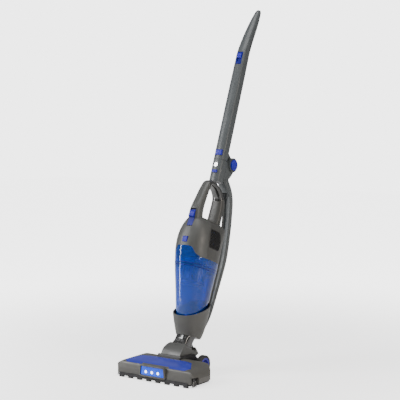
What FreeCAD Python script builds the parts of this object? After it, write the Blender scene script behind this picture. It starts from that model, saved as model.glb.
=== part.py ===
import FreeCAD, Part
import math
import os

# Cordless stick vacuum: floor head, tilting and swinging neck, carrying frame
# with a folding handle, and a lift-out hand vacuum with a clear dust cup.
# Millimetres.  +Z up, -Y is the front, X across.  The stick parts are drawn
# upright in a "stick frame" (x across, y rearward, z up the stick) and then
# leaned back by LEAN about X.

V = FreeCAD.Vector
os.makedirs("parts", exist_ok=True)

# ---------------------------------------------------------------- driving sizes
Y_SHIFT = -208.74          # brings the middle of the bounding box to y = 0
LEAN = 21.0               # lean of the stick
STICK_Y, STICK_Z = 67.0, 58.9   # origin of the stick frame
HEAD_HALF = 137.0         # half the width of the floor head
HEAD_FRONT, HEAD_REAR = -60.0, 47.0
DRUM_Y, DRUM_Z, DRUM_R = 64.0, 38.0, 50.0    # tilt drum of the neck
DRUM_HALF = 33.0
WHEEL_Y, WHEEL_Z, WHEEL_R = 94.0, 27.0, 27.0
WHEEL_X0, WHEEL_X1 = 52.0, 68.0
ROLL_Y, ROLL_Z = -28.0, 22.6                 # brush roll axis
SWIVEL_S = 14.0           # height of the swing axis in the stick frame
HINGE_V, HINGE_S, HINGE_R = 37.0, 573.0, 21.0   # folding hinge
TUBE_W = 17.5             # half width of the handle tube
JACK_R = 2.8               # charging jack bore
GAP = 0.4                 # free space between separate bodies
WALL = 2.4

STICK = FreeCAD.Placement(V(0, STICK_Y + Y_SHIFT, STICK_Z), FreeCAD.Rotation(V(1, 0, 0), -LEAN))
WORLD = FreeCAD.Placement(V(0, Y_SHIFT, 0), FreeCAD.Rotation())


# ---------------------------------------------------------------- helpers
def box(x0, x1, y0, y1, z0, z1):
    return Part.makeBox(x1 - x0, y1 - y0, z1 - z0, V(x0, y0, z0))


def cylx(y, z, r, x0, x1):
    return Part.makeCylinder(r, x1 - x0, V(x0, y, z), V(1, 0, 0))


def cyly(x, z, r, y0, y1):
    return Part.makeCylinder(r, y1 - y0, V(x, y0, z), V(0, 1, 0))


def cylz(x, y, r, z0, z1):
    return Part.makeCylinder(r, z1 - z0, V(x, y, z0), V(0, 0, 1))


def ringx(y, z, ro, ri, x0, x1):
    return cylx(y, z, ro, x0, x1).cut(cylx(y, z, ri, x0 - 1, x1 + 1))


def wire(points, radius=0.0):
    """Closed polygon of 3-D points, corners rounded by radius (one value or one per corner)."""
    n = len(points)
    radii = radius if isinstance(radius, (list, tuple)) else [radius] * n
    starts, ends, mids = [], [], []
    for i in range(n):
        p, a, b = points[i], points[i - 1], points[(i + 1) % n]
        r = radii[i]
        if r <= 0:
            starts.append(p), ends.append(p), mids.append(None)
            continue
        u, w = a - p, b - p
        lu, lw = u.Length, w.Length
        u.normalize(), w.normalize()
        ang = math.acos(max(-1, min(1, u.dot(w))))
        d = min(r / math.tan(ang / 2), 0.48 * lu, 0.48 * lw)
        r = d * math.tan(ang / 2)
        bis = (u + w)
        bis.normalize()
        c = p + bis * (r / math.sin(ang / 2))
        starts.append(p + u * d), ends.append(p + w * d), mids.append(c - bis * r)
    edges = []
    for i in range(n):
        if mids[i] is not None:
            edges.append(Part.Arc(starts[i], mids[i], ends[i]).toShape())
        j = (i + 1) % n
        if (ends[i] - starts[j]).Length > 1e-6:
            edges.append(Part.makeLine(ends[i], starts[j]))
    return Part.Wire(edges)


def prx(pts, x0, x1, r=0.0):
    return Part.Face(wire([V(x0, a, b) for a, b in pts], r)).extrude(V(x1 - x0, 0, 0))


def pry(pts, y0, y1, r=0.0):
    return Part.Face(wire([V(a, y0, b) for a, b in pts], r)).extrude(V(0, y1 - y0, 0))


def prz(pts, z0, z1, r=0.0):
    return Part.Face(wire([V(a, b, z0) for a, b in pts], r)).extrude(V(0, 0, z1 - z0))


def ring(z, f, r, a, n=2.3, k=28):
    """Closed smooth section at height z: front y = f, rear y = r, half width a."""
    yc = (f + r) / 2.0
    b = (r - f) / 2.0
    pts = []
    for i in range(k):
        t = 2 * math.pi * i / k
        c, s = math.cos(t), math.sin(t)
        pts.append(V(a * math.copysign(abs(c) ** (2 / n), c), yc + b * math.copysign(abs(s) ** (2 / n), s), z))
    cur = Part.BSplineCurve()
    cur.interpolate(pts, PeriodicFlag=True)
    return Part.Wire([cur.toShape()])


def loft(rows, off=0.0, n=2.3):
    """Body through sections (z, front, rear, half width), drawn in by off."""
    return Part.makeLoft([ring(z, f + off, r - off, a - off, n) for z, f, r, a in rows], True, False)


def ringp(c, u, w, a, b, n=2.4, k=24):
    """Closed smooth section in the plane of u and w round c."""
    pts = []
    for i in range(k):
        t = 2 * math.pi * i / k
        co, si = math.cos(t), math.sin(t)
        pts.append(c + u * (a * math.copysign(abs(co) ** (2 / n), co)) + w * (b * math.copysign(abs(si) ** (2 / n), si)))
    cur = Part.BSplineCurve()
    cur.interpolate(pts, PeriodicFlag=True)
    return Part.Wire([cur.toShape()])


def sweep_yz(rows, off=0.0, n=2.6):
    """Bar whose centre line lies in the y-z plane: rows (y, z, half width, half depth)."""
    rings = []
    for i, (y, z, a, b) in enumerate(rows):
        j0, j1 = max(0, i - 1), min(len(rows) - 1, i + 1)
        t = V(0, rows[j1][0] - rows[j0][0], rows[j1][1] - rows[j0][1])
        t.normalize()
        w = V(0, t.z, -t.y)
        rings.append(ringp(V(0, y, z), V(1, 0, 0), w, a - off, b - off, n))
    return Part.makeLoft(rings, True, False)


def mirror(s):
    return s.mirror(V(0, 0, 0), V(1, 0, 0))


def fuse(*parts):
    out = parts[0]
    if len(parts) > 1:
        out = out.multiFuse(list(parts[1:]))
    return out.removeSplitter()


def main_solid(s):
    return max(s.Solids, key=lambda k: k.Volume) if s.Solids else s


def group(*parts):
    return Part.makeCompound([s for p in parts for s in (p.Solids or [p])])


def screw(r, length, head_r, head_h):
    """Pan screw with a hexagon socket, head at z = 0..head_h, shank below."""
    hexa = prz([(head_r * 0.5 * math.cos(math.radians(60 * i)), head_r * 0.5 * math.sin(math.radians(60 * i))) for i in range(6)], head_h * 0.4, head_h + 1)
    return fuse(Part.makeCylinder(head_r, head_h), Part.makeCylinder(r, length, V(0, 0, -length))).cut(hexa)


def put(shape, pos, axis=V(0, 0, 1)):
    s = shape.copy()
    s.Placement = FreeCAD.Placement(pos, FreeCAD.Rotation(V(0, 0, 1), axis))
    return s


def save(name, shape, place):
    s = shape.copy()
    if not s.isValid():
        s.fix(1e-5, 1e-5, 1e-3)
    s.Placement = place.multiply(s.Placement)
    bad = [k for k in s.Solids if not k.isValid() or k.Volume <= 0]
    s.exportStep("parts/%s.step" % name)
    bb = s.BoundBox
    print("%-22s solids %2d vol %9.0f  x %.1f..%.1f y %.1f..%.1f z %.1f..%.1f %s" % (name, len(s.Solids), s.Volume, bb.XMin, bb.XMax, bb.YMin, bb.YMax, bb.ZMin, bb.ZMax, "BAD" if bad or not s.Solids else ""))


# ================================================================ FLOOR HEAD
# Side profile of the upper shell, open below, and its rounded plan.
prof = [(-60, 9), (-58.8, 26), (-54, 42), (-42, 47.5), (0, 52.5), (28, 54), (43, 49.5), (47, 38), (47, 9)]
prof_r = [0, 30, 9, 30, 60, 14, 8, 6, 0]
plan = [(-136, -40), (-128, -60), (128, -60), (136, -40), (137, 24), (110, 47), (-110, 47), (-137, 24)]
plan_r = [22, 15, 15, 22, 32, 28, 28, 32]


def inset(pts, d):
    n = len(pts)
    area = sum(pts[i][0] * pts[(i + 1) % n][1] - pts[(i + 1) % n][0] * pts[i][1] for i in range(n))
    sg = 1 if area > 0 else -1
    out = []
    for i in range(n):
        (ax, ay), (px, py), (bx, by) = pts[i - 1], pts[i], pts[(i + 1) % n]
        u = (px - ax, py - ay)
        w = (bx - px, by - py)
        lu, lw = math.hypot(*u), math.hypot(*w)
        n1 = (-u[1] / lu * sg, u[0] / lu * sg)
        n2 = (-w[1] / lw * sg, w[0] / lw * sg)
        k = 1 + n1[0] * n2[0] + n1[1] * n2[1]
        out.append((px + d * (n1[0] + n2[0]) / k, py + d * (n1[1] + n2[1]) / k))
    return out


def rr(radii, d):
    return [max(0.0, r - d) if r else 0 for r in radii]


def headform(d, zlow=9.0):
    """Outer form of the head drawn in by d all round; the ends fall away in two facets."""
    a = prx(inset(prof, d), -HEAD_HALF, HEAD_HALF, rr(prof_r, d))
    b = prz(inset(plan, d), -5, 90, rr(plan_r, d))
    body = a.common(b)
    # the ends slope down outwards
    ends = pry([(-137 + d, -5), (-137 + d, 21), (-129 + d, 37 - d), (-110, 47.5 - d), (-76, 55 - d), (76, 55 - d), (110, 47.5 - d), (129 - d, 37 - d), (137 - d, 21), (137 - d, -5)], -90, 90, [0, 14, 26, 40, 60, 60, 40, 26, 14, 0])
    return body.common(ends)


head_outer = headform(0.0)
head_inner = headform(WALL)
drum_hole = cylx(DRUM_Y, DRUM_Z, DRUM_R + 1.2, -(DRUM_HALF + 6.2), DRUM_HALF + 6.2)
win_plan = [(-112, -38), (-100, -51.5), (100, -51.5), (112, -38), (86, 2), (60, 9), (-60, 9), (-86, 2)]
win_hole = prz(win_plan, 30, 80, 5)
led_trap = [(-45, 15.5), (41, 15.5), (38, 43.5), (-41, 43.5)]
head_shell = head_outer.cut(head_inner)
wall_rear = prx([(44.6, 12), (47, 12), (47, 52), (44.6, 54)], -100, 100)
head_shell = head_shell.fuse(wall_rear.common(head_outer))
head_shell = head_shell.cut(box(-200, 200, -90, 90, -5, 9.2))
led_cut = pry(led_trap, -80, -50, 3)
bridge = head_outer.cut(headform(WALL)).common(pry([(-48.7, 9.3), (48.7, 9.3), (45.2, 48.9), (-45.2, 48.9)], -80, -46, 3))
head_shell = head_shell.cut(win_hole).fuse(bridge).cut(led_cut).cut(drum_hole)
head_shell = head_shell.cut(prz(inset(plan, WALL + 0.1), 0, 12.6, rr(plan_r, WALL + 0.1)))
bosses = [cylz(x, y, 4.0, 9.3, 46) for x in (-112, 112) for y in (-44, 22)] + [cylz(x, 36, 4.0, 9.3, 50) for x in (-62, 62)]
SOLE_SCREWS = [(-112, -44), (-112, 22), (112, -44), (112, 22), (-62, 36), (62, 36)]
head_shell = fuse(head_shell, *[b.common(head_outer) for b in bosses])
for x, y in SOLE_SCREWS:
    head_shell = head_shell.cut(cylz(x, y, 1.6, 8, 24))

# clear window in the top, on its own lip inside the shell
win_pane = headform(0.0).cut(headform(2.4)).common(prz(inset(win_plan, 0.25), 30, 80, 5)).cut(pry([(-49, 0), (49, 0), (45.5, 49.2), (-45.5, 49.2)], -80, -46, 3))
win_lip = headform(2.45).cut(headform(3.9)).common(prz(inset(win_plan, -2.5), 30, 80, 5)).cut(prz(inset(win_plan, 3.0), 30, 90, 4))
win_join = headform(2.3).cut(headform(3.9)).common(prz(inset(win_plan, 0.25), 30, 80, 5)).cut(prz(inset(win_plan, 3.0), 30, 90, 4))
win_lip = win_lip.cut(pry([(-49, 0), (49, 0), (46, 60), (-46, 60)], -80, -46))
win_join = win_join.cut(pry([(-49, 0), (49, 0), (46, 60), (-46, 60)], -80, -46))
window = fuse(win_pane, win_lip, win_join)
window = window.cut(drum_hole).cut(box(-42, 42, 9.8, 30, 30, 70))
for x in (-112, 112):
    window = window.cut(cylz(x, -44, 4.2, 0, 60))

# lamp bezel, lens and lamp board on the front face
bez_o = pry(inset(led_trap, -2.6), -67.5, -56.5, 4)
bez_o = bez_o.common(prz([(-48, -62.5), (-30, -66.8), (30, -66.8), (48, -62.5), (48, -50), (-48, -50)], 0, 60, [0, 40, 40, 0, 0, 0]))
bez_i = pry(inset(led_trap, 1.6), -80, -50, 3)
seat = headform(-0.0)
bezel = bez_o.cut(bez_i).cut(seat)
bez_plug = pry(inset(led_trap, 0.2), -63, -54, 3).cut(bez_i)
bezel = fuse(bezel, bez_plug)
lens = pry(inset(led_trap, 1.9), -70, -57.5, 3).common(prz([(-48, -59.5), (-30, -63.4), (30, -63.4), (48, -59.5), (48, -58), (-48, -58)], 0, 60, [0, 40, 40, 0, 0, 0]))
board = pry(inset(led_trap, 3.0), -56.0, -54.6, 2)
leds = group(*[fuse(box(x - 2.2, x + 2.2, -57.4, -56.0, 25, 29.4)) for x in (-20.7, 0, 20.7)])

# sole plate with the brush opening
sole = prz(inset(plan, 3.0), 5.0, 9.0, rr(plan_r, 3.0))
sole = fuse(sole, prz(inset(plan, 2.7), 9.0, 12.0, rr(plan_r, 2.7)).cut(prz(inset(plan, 5.2), 8, 13, rr(plan_r, 5.2))))
mouth = prz([(-100, -50), (100, -50), (100, -6), (-100, -6)], 0, 20, 6)
sole = sole.cut(mouth)
chamber = prx([(-2.5, 8.5), (-2.5, 24), (-5.5, 36), (-8.5, 36), (-5.0, 24), (-5.9, 8.5)], -100.6, 91.4)
rails = prx([(40.5, 5), (40.5, 14), (14, 14), (14, 9), (36, 9), (36, 5)], -31, 31)
sole = fuse(sole, chamber)
sole = sole.cut(box(-(DRUM_HALF + 6), DRUM_HALF + 6, 30, 60, 0, 60))
sole = sole.cut(drum_hole)
for x, y in SOLE_SCREWS:
    sole = sole.cut(cylz(x, y, 1.9, 0, 9.3)).cut(cylz(x, y, 4.2, 0, 7.0))
strip = prx([(-61.6, 13), (-60.2, 13.4), (-56.2, 9.1), (-56.2, 4.9), (-62.2, 4.9), (-62.4, 9)], -117, 117).cut(headform(0.0)).cut(sole)
lobes = []
for i in range(8):
    x = -111.0 + 31.6 * i
    lobes.append(prz([(x - 9, -62.2), (x + 7, -62.2), (x + 11, -57.6), (x - 5, -57.6)], 0.0, 5.0, 1.2))
strip = fuse(strip, *lobes)
strip = strip.cut(sole).cut(bezel)
squeegee = fuse(prx([(-3.0, 5.0), (1.0, 5.0), (0.0, 0.8), (-1.2, 0.8)], -98, 98))
sole_screws = group(*[put(screw(1.5, 11, 3.4, 1.8), V(x, y, 6.9), V(0, 0, -1)) for x, y in SOLE_SCREWS])

# brush roll across the mouth, spinning on end bearings
core = fuse(cylx(ROLL_Y, ROLL_Z, 10.0, -94, 92))
core = core.cut(cylx(ROLL_Y, ROLL_Z, 3.02, -96, 96))
pulley = ringx(ROLL_Y, ROLL_Z, 9.0, 3.02, 92.2, 98.5)
for xx in (93.2, 97.0):
    pulley = fuse(pulley, ringx(ROLL_Y, ROLL_Z, 10.4, 3.02, xx - 0.7, xx + 0.7)) if xx else pulley
tufts = []
for k in range(4):
    for i in range(13):
        x = -87 + 14.5 * i
        a = math.radians(90 * k + 11 * i)
        d = V(0, math.cos(a), math.sin(a))
        t = Part.makeCone(2.6, 3.8, 11.4, V(x, ROLL_Y, ROLL_Z) + d * 9.6, d)
        tufts.append(t)
bristles = group(*[t.cut(cylx(ROLL_Y, ROLL_Z, 10.0, -96, 96)) for t in tufts])
roll_shaft = cylx(ROLL_Y, ROLL_Z, 3.0, -107, 107)
end_l = fuse(ringx(ROLL_Y, ROLL_Z, 9.5, 5.55, -108, -101), box(-108, -101, ROLL_Y - 9.5, ROLL_Y + 9.5, 9.4, 20).cut(cylx(ROLL_Y, ROLL_Z, 9.4, -110, -100)))
brackets = group(end_l, mirror(end_l))
bear = ringx(ROLL_Y, ROLL_Z, 5.5, 3.05, -107, -102)
bearings = group(bear, mirror(bear))

# brush motor behind the chamber, its pulley and the belt
MOT_Y, MOT_Z = 14.0, 27.0
motor = fuse(cylx(MOT_Y, MOT_Z, 13.5, 44, 88), ringx(MOT_Y, MOT_Z, 6, 1.6, 88, 91)).cut(cylx(MOT_Y, MOT_Z, 1.6, 70, 95))
m_shaft = cylx(MOT_Y, MOT_Z, 1.55, 72, 99)
m_pulley = ringx(MOT_Y, MOT_Z, 5.2, 1.55, 92.2, 98.5)
clampm = fuse(box(50, 56, MOT_Y - 15, MOT_Y + 15, 9.4, 31).cut(cylx(MOT_Y, MOT_Z, 13.6, 40, 99)), box(76, 82, MOT_Y - 15, MOT_Y + 15, 9.4, 31).cut(cylx(MOT_Y, MOT_Z, 13.6, 40, 99)))
dy, dz = MOT_Y - ROLL_Y, MOT_Z - ROLL_Z
L = math.hypot(dy, dz)
ux, uz = dy / L, dz / L
ca = (9.3 - 5.5) / L


def belt_loop(r1, r2):
    hull = [fuse(cylx(ROLL_Y, ROLL_Z, r1, 94.25, 95.95)), fuse(cylx(MOT_Y, MOT_Z, r2, 94.25, 95.95))]
    sa = (r1 - r2) / L
    cb = math.sqrt(1 - sa * sa)
    pts = []
    for sg in (1, -1):
        nx, nz = ux * sa - uz * cb * sg, uz * sa + ux * cb * sg
        pts.append(((ROLL_Y + nx * r1, ROLL_Z + nz * r1), (MOT_Y + nx * r2, MOT_Z + nz * r2)))
    web = prx([pts[0][0], pts[0][1], pts[1][1], pts[1][0]], 94.25, 95.95)
    return fuse(web, *hull)


belt = belt_loop(10.9, 7.1).cut(belt_loop(9.3, 5.5))

# side brushes at both front ends
def side_brush(sx):
    out = []
    for y, lean in ((-50, -2.5), (-45, -0.5), (-40, 1.5)):
        out.append(Part.makeCone(1.5, 2.1, 20.5, V(sx * 127.2, y, 22), V(sx * 0.12, lean / 12.0, -1)))
    bar = box(min(sx * 124.6, sx * 129.4), max(sx * 124.6, sx * 129.4), -53, -36, 18, 25)
    return fuse(bar, *out)


side_tufts = group(side_brush(1), side_brush(-1))
notch = group(box(123.9, 140, -56.5, -34.5, 0, 27.5), box(-140, -123.9, -56.5, -34.5, 0, 27.5))
notch_box = headform(0.0).common(group(box(122.2, 140, -58.2, -32.8, 9.4, 29.2), box(-140, -122.2, -58.2, -32.8, 9.4, 29.2)))
head_shell = fuse(head_shell, *notch_box.Solids)
head_shell = head_shell.cut(notch)
sole = sole.cut(notch).cut(group(box(121.9, 140, -58.5, -32.5, 9.2, 30), box(-140, -121.9, -58.5, -32.5, 9.2, 30)))

# cradle behind the head: cheeks that carry the tilt pins and the wheel axles
cheek = prx([(28, 5.5), (98, 14), (104, 30), (97, 44), (80, 58), (46, 58), (12, 60), (12, 40)], DRUM_HALF + 0.6, DRUM_HALF + 5.6, [2, 8, 12, 14, 14, 12, 3, 4])
boss = cylx(WHEEL_Y, WHEEL_Z, 9.0, DRUM_HALF + 5.0, WHEEL_X0 - 0.4)
cradle = fuse(cheek, mirror(cheek), boss, mirror(boss), box(-(DRUM_HALF + 3), DRUM_HALF + 3, 36, 86, 5.4, 7.6))
lip = ringx(DRUM_Y, DRUM_Z, DRUM_R + 5.0, DRUM_R + 1.3, -(DRUM_HALF + 5.6), DRUM_HALF + 5.6).common(box(-60, 60, 0, 50, 34, 62))
cradle = fuse(cradle, lip)
cradle = cradle.cut(cylx(DRUM_Y, DRUM_Z, 5.05, -60, 60)).cut(cylx(WHEEL_Y, WHEEL_Z, 3.0, -60, 60))
cradle = cradle.cut(head_shell).cut(sole)
axle = fuse(cylx(WHEEL_Y, WHEEL_Z, 3.0, DRUM_HALF + 0.8, WHEEL_X1 - 2.0), cylx(WHEEL_Y, WHEEL_Z, 4.5, WHEEL_X1 - 2.0, WHEEL_X1 - 0.6))
axles = group(axle, mirror(axle))
hubw = fuse(ringx(WHEEL_Y, WHEEL_Z, 20.0, 14.5, WHEEL_X0, WHEEL_X1 - 0.6), ringx(WHEEL_Y, WHEEL_Z, 15.0, 3.05, WHEEL_X0 + 1, WHEEL_X1 - 5))
for k in range(6):
    a = math.radians(60 * k)
    hubw = hubw.cut(cylx(WHEEL_Y + 9.8 * math.cos(a), WHEEL_Z + 9.8 * math.sin(a), 2.9, WHEEL_X1 - 8, WHEEL_X1))
tyre = ringx(WHEEL_Y, WHEEL_Z, WHEEL_R, 20.0, WHEEL_X0, WHEEL_X1)
try:
    tyre = tyre.makeFillet(3.0, [e for e in tyre.Edges if isinstance(e.Curve, Part.Circle) and abs(e.Curve.Radius - WHEEL_R) < 0.01])
except Exception:
    pass

for n_, s_ in (("head_shell", head_shell), ("head_window", window), ("lamp_bezel", bezel), ("lamp_lens", lens), ("lamp_board", group(board, leds)), ("sole_plate", main_solid(sole)), ("front_strip", strip), ("rear_squeegee", squeegee), ("sole_screws", sole_screws), ("head_brackets", group(brackets, clampm)), ("brush_motor", motor), ("drive_belt", belt), ("side_tufts", side_tufts), ("pivot_cradle", cradle), ("wheel_axles", axles)):
    save(n_, s_, WORLD)
save("brush_core", group(core, pulley), WORLD)
save("brush_bristles", bristles, WORLD)
save("brush_shaft", group(roll_shaft, bearings), WORLD)
save("motor_pulley", fuse(m_pulley, m_shaft), WORLD)
save("wheel_hub_r", hubw, WORLD)
save("wheel_tyre_r", tyre, WORLD)
save("wheel_hub_l", mirror(hubw), WORLD)
save("wheel_tyre_l", mirror(tyre), WORLD)

# ================================================================ NECK YOKE (stick frame)
# Drum centre seen in the stick frame.
cs, sn = math.cos(math.radians(LEAN)), math.sin(math.radians(LEAN))
dvy, dvz = DRUM_Y - STICK_Y, DRUM_Z - STICK_Z
DV, DS = dvy * cs - dvz * sn, dvy * sn + dvz * cs
drum = cylx(DV, DS, DRUM_R, -DRUM_HALF, DRUM_HALF)
drum = drum.common(pry([(-DRUM_HALF, DS - 80), (-DRUM_HALF, DS + 26), (-25, DS + 60), (25, DS + 60), (DRUM_HALF, DS + 26), (DRUM_HALF, DS - 80)], DV - 80, DV + 80))
drum_in = cylx(DV, DS, DRUM_R - 3.2, -(DRUM_HALF - 3.2), DRUM_HALF - 3.2)
# the drum is a sector: it runs from the front low edge to behind the neck
def ray_pt(world_deg, r=90.0):
    a = math.radians(world_deg - LEAN)
    return (DV + r * math.sin(a), DS + r * math.cos(a))


sector = prx([(DV, DS)] + [ray_pt(a) for a in (-84, -50, -10, 30, 74)], -60, 60)
hubs = cylx(DV, DS, 11.0, -DRUM_HALF, DRUM_HALF)
SW_R = 24.0
barrel_seat = cyly(0, SWIVEL_S, SW_R + 2.9, DV - 25.8, DV + 25.8)
shell = fuse(drum.cut(drum_in).common(sector), hubs.cut(box(-12, 12, -80, 80, -90, 90)), fuse(box(-DRUM_HALF, -DRUM_HALF + 3.2, DV - 14, DV + 14, DS, DS + 30), box(DRUM_HALF - 3.2, DRUM_HALF, DV - 14, DV + 14, DS, DS + 30)).common(drum))
seat_in = cyly(0, SWIVEL_S, SW_R + 0.5, DV - 22.6, DV + 22.6)
seat = barrel_seat.common(drum)
yoke = fuse(shell, seat)
t = math.radians(37)
p1 = ((SW_R + 0.5) * math.cos(t), SWIVEL_S - (SW_R + 0.5) * math.sin(t))
p2 = (p1[0] + 70 * math.sin(t), p1[1] + 70 * math.cos(t))
wedge = pry([p1, p2, (p2[0], 120), (-p2[0], 120), (-p2[0], p2[1]), (-p1[0], p1[1])], DV - 22.6, DV + 22.6)
yoke = yoke.cut(seat_in).cut(wedge)
yoke = yoke.cut(cyly(0, SWIVEL_S, 4.02, DV - 33.2, DV + 33.2)).cut(cylx(DV, DS, 5.05, -60, 60))
low_bore = Part.makeCylinder(15.0, 60, V(0, DV, SWIVEL_S - SW_R + 2), V(0, 0, -1))
yoke = yoke.cut(low_bore)
tp = cylx(DV, DS, 5.0, 20.0, DRUM_HALF + 5.4)
tilt_pins = group(tp, mirror(tp))
sw1 = cyly(0, SWIVEL_S, 4.0, DV - 33, DV - 16)
sw2 = cyly(0, SWIVEL_S, 4.0, DV + 16, DV + 33)
swing_pins = group(sw1.common(cylx(DV, DS, DRUM_R - 1.0, -60, 60)), sw2.common(cylx(DV, DS, DRUM_R - 1.0, -60, 60)))
save("tilt_drum", yoke, STICK)
save("neck_pins", group(tilt_pins, swing_pins), STICK)

# ================================================================ NECK ELBOW AND FRAME
elbow = fuse(cyly(0, SWIVEL_S, SW_R, DV - 22.0, DV + 22.0), Part.makeLoft([ring(SWIVEL_S + 2, DV - 21.0, DV + 21.0, 22.6, 5.0), ring(32, DV - 21.0, DV + 21.6, 23.4, 4.0), ring(46, DV - 17, DV + 28, 24.6, 3.2), ring(56, DV - 14, DV + 33, 28.5, 2.8)], True, False))
duct = cylz(0, DV, 15.0, -30, 41)
elbow = elbow.cut(duct).cut(Part.makeLoft([ring(38.0, DV - 16.5, DV + 16.5, 16.5, 2.1), ring(57, DV - 10, DV + 26, 22.0, 2.3)], True, False))
elbow = elbow.cut(cyly(0, SWIVEL_S, 4.06, -60, 60))
save("neck_elbow", elbow, STICK)

col_rows = [(50, -13, 58, 33.5), (64, -20, 62, 38), (82, -30, 64, 42.0), (101, -39.5, 65, 45.5), (125, -50, 65, 48.5), (150, -61, 64, 51), (180, -72, 64, 54)]
collar_o = loft(col_rows)
collar_i = loft([(r[0] - (2 if i == 0 else 0), *r[1:]) for i, r in enumerate(col_rows)], 3.0)
slant = prx([(-120, 99 + 0.64 * (-120 + 39)), (-39, 99), (64, 165), (120, 165), (120, 300), (-120, 300)], -90, 90, [0, 0, 12, 0, 0, 0])
collar = collar_o.cut(collar_i.cut(box(-90, 90, -90, 120, 40, 61))).cut(slant)
collar = collar.cut(cylz(0, DV + 6, 19.0, 40, 90))
collar = collar.cut(box(-90, 90, -90, 120, 40, 56.05).common(Part.makeLoft([ring(46, DV - 17.1, DV + 28.2, 24.8, 3.2), ring(56.05, DV - 13.9, DV + 33.1, 28.6, 2.8)], True, False)))

spine_rows = [(66, 78, 17, 7), (80, 98, 14, 7), (95, 125, 11, 6.5), (104, 165, 10, 6.5), (110, 215, 10.5, 6.5), (113, 262, 12.5, 7), (112.5, 305, 14.5, 8), (106, 355, 15.5, 8.5), (97, 405, 16, 9), (88, 442, 16.3, 9), (78, 474, 16.5, 9), (64, 495, 16.8, 10), (44, 512, 17, 12), (24, 528, 17, 14)]
spine_o = sweep_yz(spine_rows)
# open channel along the front of the bow
chan = sweep_yz([(y - 5.5, z, a - 4.0, b - 3.0) for y, z, a, b in spine_rows[2:12]])
spine = spine_o.cut(chan)
collar_plug = loft(col_rows, 2.9)
spine = spine.cut(collar_plug).cut(collar)
column_rows = [(506, -21, 14, 17.5), (540, -21, 14, 17.5), (HINGE_S + 0.6, -21, 13, 17.5)]


def tube_wire(s, w, vf, vr, bulge_f, bulge_r, off=0.0):
    """Tube section at height s: flat-ish sides, bowed front and rear."""
    w, vf, vr = w - off, vf + off, vr - off
    pts = [V(-w, vf + bulge_f, s), V(w, vf + bulge_f, s), V(w, vr - bulge_r, s), V(-w, vr - bulge_r, s)]
    c = 2.6 if not off else 1.6
    a, b, d, e = pts
    edges = [
        Part.Arc(a + V(c, -c * 0.3, 0), V(0, vf, s), b + V(-c, -c * 0.3, 0)).toShape(),
        Part.makeLine(b + V(-c, -c * 0.3, 0), b + V(0, c, 0)),
        Part.makeLine(b + V(0, c, 0), d + V(0, -c, 0)),
        Part.makeLine(d + V(0, -c, 0), d + V(-c, c * 0.3, 0)),
        Part.Arc(d + V(-c, c * 0.3, 0), V(0, vr, s), e + V(c, c * 0.3, 0)).toShape(),
        Part.makeLine(e + V(c, c * 0.3, 0), e + V(0, -c, 0)),
        Part.makeLine(e + V(0, -c, 0), a + V(0, c, 0)),
        Part.makeLine(a + V(0, c, 0), a + V(c, -c * 0.3, 0)),
    ]
    return Part.Wire(edges)


def tube_body(rows, off=0.0):
    return Part.makeLoft([tube_wire(s, w, vf, vr, bf, br, off) for s, w, vf, vr, bf, br in rows], True, False)


col_t = [(507.0, 17.5, -21, 13, 5, 3), (540, 17.5, -21, 13, 5, 3), (572.6, 17.5, -21, 13, 5, 3)]
column = tube_body(col_t)
kn_out = fuse(cylx(HINGE_V, HINGE_S, HINGE_R, 9.4, 22.0), prx([(8, 520), (8, 572.6), (HINGE_V, 572.6), (HINGE_V + 18, 565), (HINGE_V + 6, 540), (30, 522)], 9.4, 17.5, [0, 0, 0, 6, 14, 8]))
kn_out = kn_out.common(box(0, 60, -60, 90, 500, 572.6).fuse(cylx(HINGE_V, HINGE_S, HINGE_R, 0, 60)))
kn_web = prx([(8, 520), (8, 549.0), (24, 549.0), (40, 534), (38, 520)], -12, 12)
column = fuse(column, kn_out, mirror(kn_out), kn_web)
column = column.cut(cylx(HINGE_V, HINGE_S, HINGE_R + 0.6, -9.4, 9.4))
column = column.cut(cylx(HINGE_V, HINGE_S, 4.0, -60, 60)).cut(cylx(HINGE_V, HINGE_S, 15.2, 20.4, 60)).cut(cylx(HINGE_V, HINGE_S, 15.2, -60, -20.4))
# swept space of the tube foot over the hinge
column = column.cut(spine_o)
hollow = box(-12, 12, -12, 6, 509.5, 562)
slot_pocket = box(-8.4, 8.4, -30, -12, 531.1, 539.9)
column = column.cut(hollow).cut(slot_pocket)
icon_pocket = cyly(0, 556, 6.1, -30, -19.0)
column = column.cut(icon_pocket)
column = column.cut(cylx(HINGE_V, HINGE_S, 16.3, 20.1, 40)).cut(cylx(HINGE_V, HINGE_S, 16.3, -40, -20.1))
icon = fuse(cyly(0, 556, 6.0, -21.6, -19.0).cut(cyly(0, 556, 3.9, -30, -20.6)), cyly(0, 556, 2.0, -21.6, -19.4))
save("frame_collar", collar, STICK)
save("frame_spine", spine, STICK)
save("frame_column", column, STICK)
save("column_badge", icon, STICK)
cap = fuse(cylx(HINGE_V, HINGE_S, 16.0, 20.4, 27.0))
try:
    cap = cap.makeFillet(1.6, [e for e in cap.Edges if abs(e.BoundBox.XMin - 27.0) < 0.01 and abs(e.BoundBox.XMax - 27.0) < 0.01])
except Exception:
    pass
save("hinge_caps", group(cap, mirror(cap)), STICK)
save("hinge_pin", cylx(HINGE_V, HINGE_S, 3.95, -20.2, 20.2), STICK)
seal_r = fuse(cylz(0, DV + 6, 22.0, 61.05, 64.0)).cut(cylz(0, DV + 6, 17.5, 60, 66))
save("frame_seal", seal_r, STICK)
rel = fuse(box(-8.0, 8.0, -24.0, -14.5, 531.5, 539.5), box(-5, 5, -14.5, -10.5, 532.5, 538.5))
try:
    rel = rel.makeFillet(1.5, [e for e in rel.Edges if abs(e.BoundBox.YMin + 24.0) < 0.01 and abs(e.BoundBox.YMax + 24.0) < 0.01])
except Exception:
    pass
save("dock_button", rel, STICK)

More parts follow.
